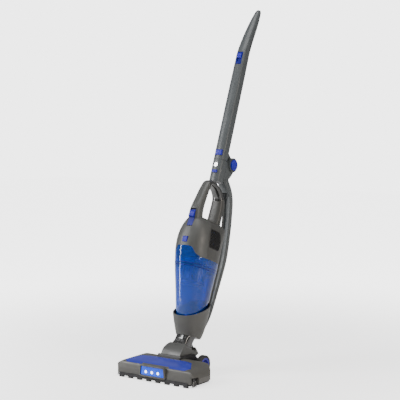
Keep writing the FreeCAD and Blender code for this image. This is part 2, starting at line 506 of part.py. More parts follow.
# ================================================================ HANDLE
h_rows = [(573.4, 17.5, -21, 13, 5, 3), (620, 17.5, -21, 13, 5, 3), (760, 17.3, -21, 13, 5, 3), (850, 17.0, -20.5, 12.8, 5, 3), (905, 16.6, -20, 12.5, 5, 3)]
h_rows2 = [(905, 16.6, -20, 12.5, 5, 3), (930, 16.3, -17, 14.5, 5, 3.5), (960, 15.6, -10.5, 19.5, 5, 4), (1000, 14.2, 0, 28, 5, 4.5), (1035, 12.0, 10.5, 35, 5, 4.5), (1058, 9.5, 19.0, 38.5, 4, 4)]
tube = tube_body(h_rows)
grip = tube_body(h_rows2)
tip = Part.makeLoft([tube_wire(1058, 9.5, 19.0, 38.5, 4, 4), tube_wire(1066, 8.0, 23.0, 38.0, 3.6, 3.6), tube_wire(1070, 5.8, 26.5, 36.0, 3, 3)], True, False)
full = fuse(tube, grip, tip)
tube_in = tube_body([(r[0] + (4 if i == 0 else 0), *r[1:]) for i, r in enumerate(h_rows)], WALL)
grip_in = tube_body([h_rows2[0], *h_rows2[1:5]], WALL)
tube_h = full.cut(tube_in).cut(grip_in)
front_half = prx([(-60, 500), (-4.0, 500), (-4.0, 905), (8, 960), (30, 1045), (30, 1100), (-60, 1100)], -60, 60)
h_front = tube_h.common(front_half)
h_rear = tube_h.cut(prx([(-60, 500), (-3.8, 500), (-3.8, 905), (8.2, 960), (30.2, 1045), (30.2, 1100), (-60, 1100)], -60, 60))
h_front = h_front.cut(box(-12.3, 12.3, -30, -12, 585.7, 602.3)).cut(box(-9.8, 9.8, -30, -10, 873.0, 913.0))
knuckle = fuse(cylx(HINGE_V, HINGE_S, HINGE_R, -9.0, 9.0), prx([(8, 573.5), (8, 600), (18, 604), (HINGE_V + 2, 592), (HINGE_V, 573.5)], -9.0, 9.0, [0, 2, 8, 4, 0]))
knuckle = knuckle.cut(cylx(HINGE_V, HINGE_S, 4.0, -60, 60)).cut(tube_in)
knuckle = knuckle.cut(box(-60, 60, -60, 16.0, 500, 573.4))
h_rear = fuse(h_rear, knuckle.cut(h_front))
grip_band = None
pad_rows = [(912, 16.3, -18.5, 13.0, 5, 3), (930, 16.3, -17, 14.5, 5, 3.5), (960, 15.6, -10.5, 19.5, 5, 4), (1000, 14.2, 0, 28, 5, 4.5), (1035, 12.0, 10.5, 35, 5, 4.5)]
pad_skin = tube_body(pad_rows).cut(tube_body(pad_rows, 1.5))
pad_zone = prx([(-2, 918), (60, 918), (60, 1030), (24, 1030), (16, 985)], -40, 40, [3, 0, 0, 3, 60])
pad = pad_skin.common(pad_zone)
save("handle_front", main_solid(h_front.cut(pad)), STICK)
step_zone = prx([(2.5, 918), (60, 918), (60, 946), (8.5, 944)], -60, 60)
h_rear = h_rear.cut(pad) if pad.Solids else h_rear
save("handle_rear", h_rear, STICK)
save("grip_pad", pad, STICK)
fold = fuse(box(-12, 12, -23.0, -15.5, 586.0, 602.0), box(-8, 8, -15.5, -12.5, 588, 600))
try:
    fold = fold.makeFillet(2.4, [e for e in fold.Edges if abs(e.BoundBox.YMin + 23.0) < 0.01 and abs(e.BoundBox.YMax + 23.0) < 0.01])
except Exception:
    pass
save("fold_button", fold, STICK)
sw_base = box(-9.5, 9.5, -18.4, -13.5, 873.3, 912.7)
sw_base = sw_base.cut(box(-7.3, 7.3, -30, -15.8, 875.5, 910.4))
sw_base = fuse(sw_base, prx([(-15.8, 875.5), (-19.4, 876.0), (-19.4, 881.0), (-15.8, 881.5)], -6.8, 6.8))
save("switch_plate", sw_base, STICK)
sld = fuse(prx([(-16.2, 893.2), (-20.5, 894.0), (-22.3, 898.0), (-21.2, 901.5), (-22.3, 905.0), (-20.5, 909.0), (-16.2, 909.7)], -6.9, 6.9, [0, 1.5, 2, 3, 2, 1.5, 0]))
save("handle_switch", sld, STICK)
hs = []
for s in (640.0, 720.0, 800.0):
    hs.append(put(screw(1.4, 9, 2.7, 1.5), V(0, 12.2, s), V(0, 1, 0)))
h_screws = group(*hs)
save("handle_screws", h_screws, STICK)

# ================================================================ HANDHELD
hh_rows = [(268.3, -87.4, 56, 55.6), (285, -91.5, 56.5, 56.6), (315, -93, 54, 57.5), (332, -91, 55, 57), (346, -89, 59, 54.5), (360, -86, 64, 50), (371, -83, 69, 43.5), (379, -81, 73, 35), (385, -79, 75, 24)]
shell_o = loft(hh_rows)
shell_i = loft([(267.0, -87.1, 56, 55.5)] + hh_rows[1:-2] + [(374, -82.4, 70.5, 40.5)], 2.6)
gap_pts = [(-46, 260), (-44, 268.6), (-34, 275), (-25.6, 289.5), (-20, 292.5), (20, 292.5), (25.6, 289.5), (34, 275), (44, 268.6), (46, 260)]
tongue_gap = pry(gap_pts, -130, -20, [0, 6, 8, 4, 3, 3, 4, 8, 6, 0])
tongue_pts = inset(gap_pts, 0.4)
tongue_pts[0] = (tongue_pts[1][0] - 1.2, 255)
tongue_pts[-1] = (tongue_pts[-2][0] + 1.2, 255)
tongue_form = pry(tongue_pts, -130, -20, [0, 5.6, 8.4, 3.6, 2.6, 2.6, 3.6, 8.4, 5.6, 0])
bar_f = sweep_yz([(-60, 352, 24, 22), (-65, 380, 19.5, 18.5), (-66.5, 410, 18, 16), (-61, 433, 16.5, 13.6), (-55.5, 454, 15.5, 12.3), (-49, 474, 14.5, 10.8), (-42, 490, 14, 10)])
bar_r = sweep_yz([(22, 350, 25, 24), (27, 374, 22.5, 16), (29, 398, 21.5, 13.5), (30, 420, 21, 12.5), (30, 442, 20, 12.2), (28, 462, 18.5, 11.5)])
top = sweep_yz([(-44, 484, 14.5, 10), (-38, 492.5, 14.5, 9.0), (-26, 495, 15, 8.8), (-10, 491.5, 15.8, 9), (6, 484.5, 16.5, 9.5), (19, 474, 17.3, 10.2), (27, 460, 18, 11), (30, 446, 18.6, 11.4)])
bar_f_s = bar_f.cut(shell_o)
body_all = fuse(shell_o, bar_f)
body_h = body_all.cut(shell_i).cut(tongue_gap)
# front shell: everything ahead of a curved parting
part_line = prx([(-130, 262), (-44, 262), (-51, 303), (-56, 325), (-52, 346), (-44, 362), (-36.4, 380), (-34, 412), (-22, 470), (-22, 520), (-130, 520)], -90, 90, [0, 0, 60, 30, 20, 20, 20, 60, 30, 0, 0])
part_line2 = prx([(-130, 261), (-43.7, 261), (-50.7, 303), (-55.7, 325), (-51.7, 346), (-43.7, 362.2), (-36.1, 380.2), (-33.7, 412), (-21.7, 470), (-21.7, 521), (-130, 521)], -90, 90, [0, 0, 60, 30, 20, 20, 20, 60, 30, 0, 0])
hh_front = body_h.common(part_line)
hh_rear = shell_o.cut(shell_i).cut(tongue_gap).cut(bar_f).cut(part_line2)
strut_all = fuse(top)
bar_r_u = bar_r.cut(shell_o)
hh_rear = fuse(hh_rear, bar_r_u)
hh_rear = hh_rear.cut(top)
strut = top.cut(body_all)
hh_rear = hh_rear.cut(shell_i)


hh_front = main_solid(hh_front)
hh_rear = main_solid(hh_rear)
strut = main_solid(strut)
# buttons' wells
hh_front = hh_front.cut(prx([(-110, 301.7), (-70, 301.7), (-70, 318.3), (-110, 318.3)], -8.3, 8.3))
sw_ax = V(0, -81.5 + 85.5, 391 - 364)
well = prx([(-104, 350), (-84, 350), (-75, 404), (-96, 404)], -9.3, 9.3)
hh_front = hh_front.cut(well)
# vents: an opening on each side, filled by a pierced plate flush with the shell
zone_pts = [(-46.5, 301), (0, 301), (5, 316), (5, 336), (-4, 356), (-45, 356), (-50, 338), (-50.5, 316)]
zone_r = [6, 8, 8, 8, 8, 6, 10, 10]
vent_zone = prx(zone_pts, 28, 90, zone_r)
rear_half = main_solid(main_solid(hh_rear).cut(mirror(vent_zone)).common(box(-120, 0, -160, 140, 200, 520)))
hh_rear = fuse(rear_half, mirror(rear_half))
jack = cyly(25, 290, 5.4, 38.5, 60).common(loft(hh_rows[:-1]))
hh_rear = main_solid(fuse(hh_rear, jack).cut(cyly(25, 290, JACK_R, 30.0, 70)))
grille_zone = prx([(31, 306), (48, 306), (50, 366), (31, 366)], -90, 90)
save("hand_front", hh_front, STICK)
save("hand_rear", hh_rear, STICK)
save("hand_strut", strut, STICK)
vent_plate = loft(hh_rows[:-2], 0.25).cut(loft(hh_rows[:-2], 2.25)).common(prx(inset(zone_pts, 0.25), 28, 90, zone_r))
vent_plate = main_solid(vent_plate)
lozenges = []
for j in range(11):
    for i in range(8):
        y = -47.2 + 7.2 * i + (3.6 if j % 2 else 0)
        z = 305.2 + 4.6 * j
        if -48.5 + 3.6 < y < 1.2 and y < 3.5 - max(0.0, (z - 330) * 0.22) - 3.0 and (y > -44 or 309 < z < 347):
            lozenges.append(prx([(y - 2.5, z), (y, z - 3.3), (y + 2.5, z), (y, z + 3.3)], 28, 90))
vent_plate = vent_plate.cut(group(*lozenges))
mesh_skin = main_solid(vent_plate)
save("vent_screens", group(mesh_skin, mirror(mesh_skin)), STICK)
# fan motor, fan, batteries, control board
FY, FS = -16.0, 318.0
fan_motor = fuse(cylz(0, FY, 26, 322, 352), cylz(0, FY, 10, 352, 357)).cut(cylz(0, FY, 2.0, 310, 340))
fan_mount = fuse(cylz(0, FY, 44, 296.0, 299.0), cylz(0, FY, 38, 299, 321).cut(cylz(0, FY, 35.5, 298, 322))).cut(cylz(0, FY, 20, 290, 300)).cut(cylz(0, FY, 35.5, 299, 322))
fan_mount = fuse(fan_mount, cylz(0, FY, 35.6, 319.0, 321.9).cut(cylz(0, FY, 22, 310, 330)))
fan_mount = fan_mount.common(loft(hh_rows, 3.2))
fan = fuse(cylz(0, FY, 33, 303.0, 304.6), cylz(0, FY, 6, 303.0, 316))
for k in range(9):
    b_ = box(6.5, 32, FY - 0.6, FY + 0.6, 304.0, 313.5)
    b_.rotate(V(0, FY, 0), V(0, 0, 1), 40 * k + 5)
    fan = fan.fuse(b_)
fan = fuse(fan, cylz(0, FY, 1.95, 316, 338))
cells = []
for x in (-20, 0, 20):
    cells.append(cylz(x, 40, 9.1, 300, 365).common(loft(hh_rows[:-1], 3.0)))
cells = [c_ for c_ in cells if c_.Solids]
pack = group(*[main_solid(c_) for c_ in cells])
cb = box(-18, 18, -66, -64.4, 322, 356)
save("fan_motor", fan_motor, STICK)
save("fan_mount", fan_mount, STICK)
save("fan_wheel", fan, STICK)
save("battery_cells", pack, STICK)
save("control_board", cb, STICK)
cup_btn = fuse(box(-8, 8, -95.5, -87.5, 302, 318), box(-5, 5, -87.5, -84, 304, 316))
try:
    cup_btn = cup_btn.makeFillet(1.8, [e for e in cup_btn.Edges if abs(e.BoundBox.YMin + 95.5) < 0.01 and abs(e.BoundBox.YMax + 95.5) < 0.01])
except Exception:
    pass
save("cup_button", cup_btn, STICK)
# power switch: channel plate and slider, on the line of the front of the grip
bd = V(0, 9.0, 54.0)
bd.normalize()
swp = prx([(-86.6, 352), (-83.8, 352), (-75.0, 402.6), (-79.2, 402.6)], -9.0, 9.0)
swk = prx([(-87.2, 378), (-90.6, 379.0), (-89.2, 386), (-88.6, 392), (-85.2, 398.0), (-81.2, 398.0), (-80.9, 396), (-84.2, 378)], -8.6, 8.6, [0, 1.2, 4, 3, 1.5, 0, 0, 0])
swk = swk.cut(prx([(-86.5, 340), (-83.8, 340), (-73.3, 412), (-79.0, 409)], -20, 20))
save("power_plate", main_solid(swp.cut(hh_front)), STICK)
save("power_switch", swk, STICK)

# ================================================================ DUST CUP
cup_rows = [(72, -14, 24, 26), (90, -24, 35, 32), (108, -31, 44, 37), (130, -39.5, 50.5, 41), (155, -49, 55, 43.8), (188, -61, 55.5, 47.5), (215, -71, 55.5, 50.5), (249, -82, 55.5, 54), (268.3, -87.4, 56, 55.6), (285, -91.5, 56.5, 56.6), (292.2, -92.6, 55.5, 57)]
cup_o = loft(cup_rows)
cup_i = loft([(cup_rows[0][0] + 3, *cup_rows[0][1:])] + cup_rows[1:-1] + [(293.2, -92.7, 55.4, 57)], 2.6)
cup = cup_o.cut(cup_i)
cup = cup.cut(cylz(0, DV + 6, 16.0, 60, 80))
nozzle = cylz(0, DV + 6, 16.0, 65.5, 110).cut(cylz(0, DV + 6, 13.5, 60, 112))
nozzle = nozzle.cut(cylz(0, DV + 6, 14.5, 106, 120))
cup = cup.cut(box(-90, 90, -130, 90, 268.0, 300).cut(tongue_form))
cup = main_solid(cup)
save("cup_shell", cup, STICK)
save("cup_duct", main_solid(nozzle.cut(cup)), STICK)
flap = fuse(cylz(0, DV + 6, 15.6, 111.0, 112.6), cylx(DV + 6 + 17.0, 112.4, 1.8, -9, 9), box(-8, 8, DV + 6 + 10, DV + 6 + 17, 111.0, 112.6))
save("cup_flap", flap, STICK)
FVY = -18.0
frame_ring = cylz(0, FVY, 40, 262, 266).cut(cylz(0, FVY, 34.0, 260, 268))
cage = cylz(0, FVY, 35.6, 196, 262).cut(cylz(0, FVY, 34.0, 198, 270))
wins = []
for k in range(8):
    b_ = box(10, 50, FVY - 9.5, FVY + 9.5, 204, 256)
    b_.rotate(V(0, FVY, 0), V(0, 0, 1), 45 * k)
    wins.append(b_)
for w_ in wins:
    cage = cage.cut(w_)
cage = fuse(cage, frame_ring)
pleat = []
N = 28
for i in range(2 * N):
    a = math.pi * i / N
    r_ = 32.6 if i % 2 == 0 else 24.0
    pleat.append((r_ * math.cos(a), FVY + r_ * math.sin(a)))
pleats = prz(pleat, 200.0, 258.0).cut(cylz(0, FVY, 21.5, 190, 260))
f_cap = fuse(cylz(0, FVY, 37.0, 268.2, 271.0), cylz(0, FVY, 33.0, 259, 268.2).cut(cylz(0, FVY, 30, 255, 268.5))).cut(cylz(0, FVY, 20, 250, 280))
save("filter_cage", cage, STICK)
save("filter_pleats", pleats, STICK)
save("filter_cap", f_cap, STICK)
gas = loft(cup_rows, 2.7).cut(loft(cup_rows, 6.0)).common(box(-90, 90, -120, 90, 239, 248))
save("cup_gasket", gas, STICK)
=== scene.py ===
import bpy
import bmesh
import math
import random
from mathutils import Vector, Matrix


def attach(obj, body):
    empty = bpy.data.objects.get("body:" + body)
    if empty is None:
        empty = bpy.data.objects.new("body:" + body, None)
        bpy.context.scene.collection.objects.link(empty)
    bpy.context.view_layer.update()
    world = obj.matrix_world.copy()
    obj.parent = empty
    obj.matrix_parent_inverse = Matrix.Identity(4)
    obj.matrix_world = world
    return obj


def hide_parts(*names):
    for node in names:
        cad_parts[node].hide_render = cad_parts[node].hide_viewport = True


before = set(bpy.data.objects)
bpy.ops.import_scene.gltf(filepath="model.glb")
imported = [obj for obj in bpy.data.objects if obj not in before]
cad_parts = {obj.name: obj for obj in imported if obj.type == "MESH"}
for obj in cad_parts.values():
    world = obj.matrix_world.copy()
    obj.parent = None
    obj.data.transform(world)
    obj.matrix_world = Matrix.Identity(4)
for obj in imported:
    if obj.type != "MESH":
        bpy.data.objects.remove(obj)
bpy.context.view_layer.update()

random.seed(7)

# ------------------------------------------------------------------ places
SH = -0.20874                      # row frame: y of the model's own zero
LEAN = math.radians(21.0)
CO, SI = math.cos(LEAN), math.sin(LEAN)


def S(x, v, s):
    """Point given up the stick (mm: across, rearward, up the stick) in the row frame."""
    return Vector((x / 1000.0, (67.0 + CO * v + SI * s) / 1000.0 + SH, (58.9 - SI * v + CO * s) / 1000.0))


def H(x, y, z):
    return Vector((x / 1000.0, y / 1000.0 + SH, z / 1000.0))


V_AX = Vector((0, CO, -SI))
S_AX = Vector((0, SI, CO))

# ------------------------------------------------------------------ materials
class Mat:
    def __init__(self, name):
        self.m = bpy.data.materials.new(name)
        self.m.use_nodes = True
        self.nt = self.m.node_tree
        self.nt.nodes.clear()
        self.out = self.node("ShaderNodeOutputMaterial")
        self.bsdf = self.node("ShaderNodeBsdfPrincipled")
        self.link(self.bsdf, "BSDF", self.out, "Surface")
        self.co = self.node("ShaderNodeTexCoord")

    def node(self, kind, **kw):
        n = self.nt.nodes.new(kind)
        for k, v in kw.items():
            setattr(n, k, v)
        return n

    def link(self, a, sa, b, sb):
        self.nt.links.new(a.outputs[sa], b.inputs[sb])

    def noise(self, scale, detail=2.0, rough=0.5, vec=None, distort=0.0):
        n = self.node("ShaderNodeTexNoise")
        n.inputs["Scale"].default_value = scale
        n.inputs["Detail"].default_value = detail
        n.inputs["Roughness"].default_value = rough
        n.inputs["Distortion"].default_value = distort
        self.nt.links.new(vec if vec is not None else self.co.outputs["Object"], n.inputs["Vector"])
        return n

    def ramp(self, src, p0, c0, p1, c1):
        r = self.node("ShaderNodeValToRGB")
        r.color_ramp.elements[0].position = p0
        r.color_ramp.elements[0].color = (*c0, 1)
        r.color_ramp.elements[1].position = p1
        r.color_ramp.elements[1].color = (*c1, 1)
        self.nt.links.new(src, r.inputs[0])
        return r

    def mapr(self, src, a, b, c, d, smooth=False):
        m = self.node("ShaderNodeMapRange")
        if smooth:
            m.interpolation_type = "SMOOTHSTEP"
        self.nt.links.new(src, m.inputs["Value"])
        for k, v in (("From Min", a), ("From Max", b), ("To Min", c), ("To Max", d)):
            m.inputs[k].default_value = v
        return m.outputs["Result"]

    def math(self, op, a, b=None):
        n = self.node("ShaderNodeMath", operation=op)
        for i, v in enumerate((a, b)):
            if v is None:
                continue
            if isinstance(v, (int, float)):
                n.inputs[i].default_value = v
            else:
                self.nt.links.new(v, n.inputs[i])
        return n.outputs[0]

    def mix(self, fac, a, b, mode="MIX"):
        n = self.node("ShaderNodeMix", data_type="RGBA", blend_type=mode)
        for i, v in ((0, fac), (6, a), (7, b)):
            if isinstance(v, (int, float)):
                n.inputs[i].default_value = v
            elif isinstance(v, tuple):
                n.inputs[i].default_value = (*v, 1)
            else:
                self.nt.links.new(v, n.inputs[i])
        return n.outputs[2]

    def bump(self, height, strength, dist):
        b = self.node("ShaderNodeBump")
        b.inputs["Strength"].default_value = strength
        b.inputs["Distance"].default_value = dist
        self.nt.links.new(height, b.inputs["Height"])
        return b

    def along(self, axis, origin):
        """Distance in metres from origin along axis."""
        d = self.node("ShaderNodeVectorMath", operation="SUBTRACT")
        self.nt.links.new(self.co.outputs["Object"], d.inputs[0])
        d.inputs[1].default_value = origin
        e = self.node("ShaderNodeVectorMath", operation="DOT_PRODUCT")
        self.nt.links.new(d.outputs[0], e.inputs[0])
        e.inputs[1].default_value = axis
        return e.outputs["Value"]


def plastic(name, col, rough=0.45, grain=1400.0, bump=0.12, vary=0.10, coat=0.0, spec=0.5, crevice_shade=0.05, worn=False):
    m = Mat(name)
    big = m.noise(16.0, 3.0)
    fine = m.noise(grain, 2.0, 0.6)
    dark = tuple(c * (1 - vary) for c in col)
    light = tuple(min(1, c * (1 + vary)) for c in col)
    base = m.ramp(big.outputs["Fac"], 0.35, dark, 0.68, light).outputs["Color"]
    speck = m.ramp(fine.outputs["Fac"], 0.30, (0.86, 0.86, 0.86), 0.62, (1, 1, 1)).outputs["Color"]
    base = m.mix(1.0, base, speck, "MULTIPLY")
    if worn:
        geo = m.node("ShaderNodeNewGeometry")
        edge = m.mapr(geo.outputs["Pointiness"], 0.53, 0.62, 0.0, 0.35, True)
        patch = m.noise(60.0, 4.0, 0.65)
        edge = m.math("MULTIPLY", edge, patch.outputs["Fac"])
        base = m.mix(edge, base, tuple(min(1, c * 1.9 + 0.04) for c in col))
    if crevice_shade:
        # painted shade: ambient occlusion darkens the base colour in crevices and seams
        ao = m.node("ShaderNodeAmbientOcclusion")
        ao.samples = 4
        ao.inputs["Distance"].default_value = 0.006
        f = m.mapr(ao.outputs["AO"], 0.25, 0.95, 0.55, 0.0, True)
        base = m.mix(f, base, tuple(c * 0.30 for c in col))
    m.nt.links.new(base, m.bsdf.inputs["Base Color"])
    smear = m.noise(45.0, 5.0, 0.6, distort=0.6)
    r = m.mapr(smear.outputs["Fac"], 0.3, 0.7, rough - 0.06, rough + 0.09)
    m.nt.links.new(r, m.bsdf.inputs["Roughness"])
    b = m.bump(fine.outputs["Fac"], bump, 0.0002)
    m.nt.links.new(b.outputs[0], m.bsdf.inputs["Normal"])
    m.bsdf.inputs["Specular IOR Level"].default_value = spec
    m.bsdf.inputs["IOR"].default_value = 1.49
    if coat:
        m.bsdf.inputs["Coat Weight"].default_value = coat
        m.bsdf.inputs["Coat Roughness"].default_value = 0.06
    return m


def metal(name, col, rough=0.28, lines=(1, 1, 1), scale=900.0):
    m = Mat(name)
    mp = m.node("ShaderNodeMapping")
    mp.inputs["Scale"].default_value = lines
    m.nt.links.new(m.co.outputs["Object"], mp.inputs["Vector"])
    n = m.noise(scale, 3.0, 0.6, mp.outputs[0])
    base = m.ramp(n.outputs["Fac"], 0.3, tuple(c * 0.82 for c in col), 0.7, col).outputs["Color"]
    m.nt.links.new(base, m.bsdf.inputs["Base Color"])
    m.bsdf.inputs["Metallic"].default_value = 1.0
    m.nt.links.new(m.mapr(n.outputs["Fac"], 0.3, 0.7, rough - 0.08, rough + 0.1), m.bsdf.inputs["Roughness"])
    m.nt.links.new(m.bump(n.outputs["Fac"], 0.08, 0.0001).outputs[0], m.bsdf.inputs["Normal"])
    return m


def rubber(name, col=(0.018, 0.018, 0.019), rough=0.62, tread=None):
    m = Mat(name)
    n = m.noise(2200.0, 2.0, 0.6)
    big = m.noise(38.0, 4.0, 0.6)
    base = m.ramp(big.outputs["Fac"], 0.35, col, 0.75, tuple(c * 1.9 + 0.006 for c in col)).outputs["Color"]
    m.nt.links.new(base, m.bsdf.inputs["Base Color"])
    m.nt.links.new(m.mapr(big.outputs["Fac"], 0.3, 0.7, rough - 0.08, rough + 0.12), m.bsdf.inputs["Roughness"])
    h = n.outputs["Fac"]
    m.nt.links.new(m.bump(h, 0.25, 0.0003).outputs[0], m.bsdf.inputs["Normal"])
    m.bsdf.inputs["Specular IOR Level"].default_value = 0.35
    return m


def clear(name, col, trans=0.8, rough=0.04, body=None, ior=1.45, streak=None):
    """Tinted clear plastic with faint moulding ripple and fine scratches."""
    m = Mat(name)
    n = m.noise(30.0, 3.0, 0.5)
    base = m.ramp(n.outputs["Fac"], 0.3, tuple(c * 0.9 for c in col), 0.7, tuple(min(1, c * 1.08) for c in col)).outputs["Color"]
    if body is not None:
        base = body(m, base)
    m.nt.links.new(base, m.bsdf.inputs["Base Color"])
    m.bsdf.inputs["Transmission Weight"].default_value = trans
    m.bsdf.inputs["IOR"].default_value = ior
    sc = m.noise(900.0, 2.0, 0.7)
    m.nt.links.new(m.mapr(sc.outputs["Fac"], 0.45, 0.75, rough, rough + 0.07), m.bsdf.inputs["Roughness"])
    rip = m.noise(70.0, 2.0, 0.5)
    m.nt.links.new(m.bump(rip.outputs["Fac"], 0.05, 0.001).outputs[0], m.bsdf.inputs["Normal"])
    m.bsdf.inputs["Coat Weight"].default_value = 0.10
    m.bsdf.inputs["Coat Roughness"].default_value = 0.03
    return m


GREY = (0.068, 0.070, 0.067)
TUBE = (0.066, 0.074, 0.078)
M = {}
M["body"] = plastic("body_grey", GREY, 0.40, 1500.0, 0.10, 0.06, spec=0.5)
M["head"] = plastic("head_grey", (0.082, 0.080, 0.073), 0.36, 1500.0, 0.10, 0.06)
M["tube"] = plastic("tube_grey", TUBE, 0.38, 1500.0, 0.10, 0.06)
M["collar"] = plastic("collar_grey", (0.074, 0.074, 0.069), 0.42, 1500.0, 0.10, 0.06)
M["dark"] = plastic("dark_plastic", (0.010, 0.010, 0.011), 0.42, 1200.0, 0.15, 0.25)
# painted shade: a darker copy of the body grey for the rear of the hand unit, standing in for the shadow seen
# through the handle opening
M["rear"] = plastic("rear_grey_shaded", (0.050, 0.050, 0.047), 0.42, 1500.0, 0.10, 0.07)
M["gloss"] = plastic("gloss_dark", (0.022, 0.022, 0.022), 0.10, 800.0, 0.03, 0.12, coat=0.8, crevice_shade=0)
M["neck"] = plastic("neck_gloss", (0.020, 0.020, 0.020), 0.10, 400.0, 0.02, 0.12, coat=0.8, crevice_shade=0.05)
M["blue"] = plastic("button_blue", (0.018, 0.016, 0.34), 0.40, 260.0, 0.02, 0.08, spec=0.22)
M["hub"] = plastic("hub_blue", (0.036, 0.030, 0.30), 0.38, 260.0, 0.02, 0.08, spec=0.30)
M["blue_dark"] = plastic("button_blue_dark", (0.006, 0.010, 0.20), 0.36, 260.0, 0.02, 0.08, spec=0.22)
M["rubber"] = rubber("black_rubber")
M["tyre"] = rubber("tyre_rubber", (0.016, 0.016, 0.017), 0.6)
M["steel"] = metal("turned_steel", (0.62, 0.62, 0.63))
M["chrome"] = metal("bright_badge", (0.86, 0.86, 0.87), 0.16)
M["brass"] = metal("brass", (0.72, 0.52, 0.24), 0.3)
M["board"] = plastic("board_green", (0.02, 0.12, 0.05), 0.4, 600.0, 0.1, 0.2, worn=False)
M["cell"] = plastic("cell_sleeve", (0.03, 0.10, 0.26), 0.3, 600.0, 0.05, 0.1, worn=False)
M["screen"] = plastic("vent_black", (0.006, 0.006, 0.006), 0.6, 1200.0, 0.1, 0.2, worn=False, crevice_shade=0)


def cup_back_shade(m, base):
    # painted shade: the blue darkens towards the back of the cup
    d = m.along(tuple(V_AX), tuple(S(0, 0, 180)))
    f = m.mapr(d, -0.035, 0.050, 0.0, 1.0, True)
    return m.mix(f, base, (0.002, 0.030, 0.30))


M["cup"] = clear("cup_blue", (0.004, 0.155, 0.80), 0.82, 0.02, cup_back_shade)
M["duct"] = clear("duct_blue", (0.02, 0.10, 0.85), 0.30, 0.12)
M["cage"] = plastic("cage_blue", (0.03, 0.12, 0.50), 0.30, 800.0, 0.05, 0.10, coat=0.3, worn=False)
M["window"] = clear("window_blue", (0.035, 0.050, 0.46), 0.25, 0.10)

# pleated filter cloth
f_ = Mat("filter_cloth")
w = f_.noise(2600.0, 2.0, 0.7)
bg = f_.noise(40.0, 3.0)
f_.nt.links.new(f_.ramp(bg.outputs["Fac"], 0.3, (0.50, 0.62, 0.70), 0.7, (0.62, 0.72, 0.78)).outputs["Color"], f_.bsdf.inputs["Base Color"])
f_.bsdf.inputs["Roughness"].default_value = 0.9
f_.nt.links.new(f_.bump(w.outputs["Fac"], 0.5, 0.0004).outputs[0], f_.bsdf.inputs["Normal"])
f_.bsdf.inputs["Sheen Weight"].default_value = 0.3
M["filter"] = f_

# lit lamp lens: saturated blue with three white hot spots
l_ = Mat("lamp_blue")
geo = l_.co.outputs["Object"]
spots = None
for x in (-22.7, -2.0, 18.7):
    d = l_.node("ShaderNodeVectorMath", operation="DISTANCE")
    l_.nt.links.new(geo, d.inputs[0])
    d.inputs[1].default_value = H(x, -63.4, 26.8)
    v = l_.mapr(d.outputs["Value"], 0.0024, 0.0052, 1.0, 0.0, True)
    spots = v if spots is None else l_.math("MAXIMUM", spots, v)
vert = l_.along((0, 0, 1), tuple(H(0, -63, 17)))
grad = l_.ramp(l_.mapr(vert, 0.0, 0.025, 0.0, 1.0), 0.0, (0.004, 0.085, 0.80), 1.0, (0.001, 0.045, 0.60)).outputs["Color"]
rib = l_.node("ShaderNodeTexWave", wave_type="BANDS", bands_direction="X")
rib.inputs["Scale"].default_value = 60.0
rib.inputs["Distortion"].default_value = 0.4
l_.nt.links.new(geo, rib.inputs["Vector"])
grad = l_.mix(0.12, grad, rib.outputs["Color"], "OVERLAY")
lc = l_.mix(spots, grad, (1.0, 1.0, 1.0))
l_.nt.links.new(lc, l_.bsdf.inputs["Base Color"])
l_.nt.links.new(lc, l_.bsdf.inputs["Emission Color"])
l_.nt.links.new(l_.mapr(spots, 0.0, 1.0, 0.55, 4.0), l_.bsdf.inputs["Emission Strength"])
l_.bsdf.inputs["Roughness"].default_value = 0.16
M["lens"] = l_

use = {
    "head": ["head_shell", "lamp_bezel"],
    "body": ["hand_front", "tilt_drum"],
    "rear": ["hand_rear"],
    "collar": ["frame_collar"],
    "tube": ["handle_front", "handle_rear", "frame_column", "frame_spine"],
    "dark": ["sole_plate", "pivot_cradle", "head_brackets", "fan_mount", "fan_wheel", "filter_cap"],
    "gloss": ["hand_strut"],
    "neck": ["neck_elbow"],
    "blue": ["hinge_caps", "fold_button", "dock_button", "handle_switch", "power_switch", "cup_button"],
    "hub": ["wheel_hub_l", "wheel_hub_r"],
    "blue_dark": ["switch_plate", "power_plate", "brush_core"],
    "rubber": ["front_strip", "rear_squeegee", "drive_belt", "frame_seal", "grip_pad", "cup_gasket", "cup_flap"],
    "tyre": ["wheel_tyre_l", "wheel_tyre_r"],
    "steel": ["sole_screws", "brush_motor", "wheel_axles", "brush_shaft", "neck_pins", "hinge_pin", "handle_screws", "fan_motor"],
    "brass": ["motor_pulley"],
    "chrome": ["column_badge"],
    "board": ["lamp_board", "control_board"],
    "cell": ["battery_cells"],
    "screen": ["vent_screens"],
    "cup": ["cup_shell"],
    "duct": ["cup_duct"],
    "cage": ["filter_cage"],
    "filter": ["filter_pleats"],
    "window": ["head_window"],
    "lens": ["lamp_lens"],
}
for key, names in use.items():
    for n in names:
        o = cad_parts[n]
        o.data.materials.clear()
        o.data.materials.append(M[key].m)


def soften(node, width, angle=38.0, seg=2):
    """Rounds the moulded edges of a CAD node with modifiers only."""
    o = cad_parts[node]
    w = o.modifiers.new("weld", "WELD")
    w.merge_threshold = 0.00002
    b = o.modifiers.new("edge", "BEVEL")
    b.width = width
    b.segments = seg
    b.limit_method = "ANGLE"
    b.angle_limit = math.radians(angle)
    b.harden_normals = False
    b.use_clamp_overlap = True
    s = o.modifiers.new("smooth", "WEIGHTED_NORMAL")
    s.keep_sharp = False


# ------------------------------------------------------------------ extra pieces
def new_obj(name, bm, mat, body, smooth=True):
    me = bpy.data.meshes.new(name)
    bm.to_mesh(me)
    bm.free()
    if smooth:
        for p in me.polygons:
            p.use_smooth = True
    o = bpy.data.objects.new(name, me)
    bpy.context.scene.collection.objects.link(o)
    me.materials.append(mat.m)
    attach(o, body)
    return o


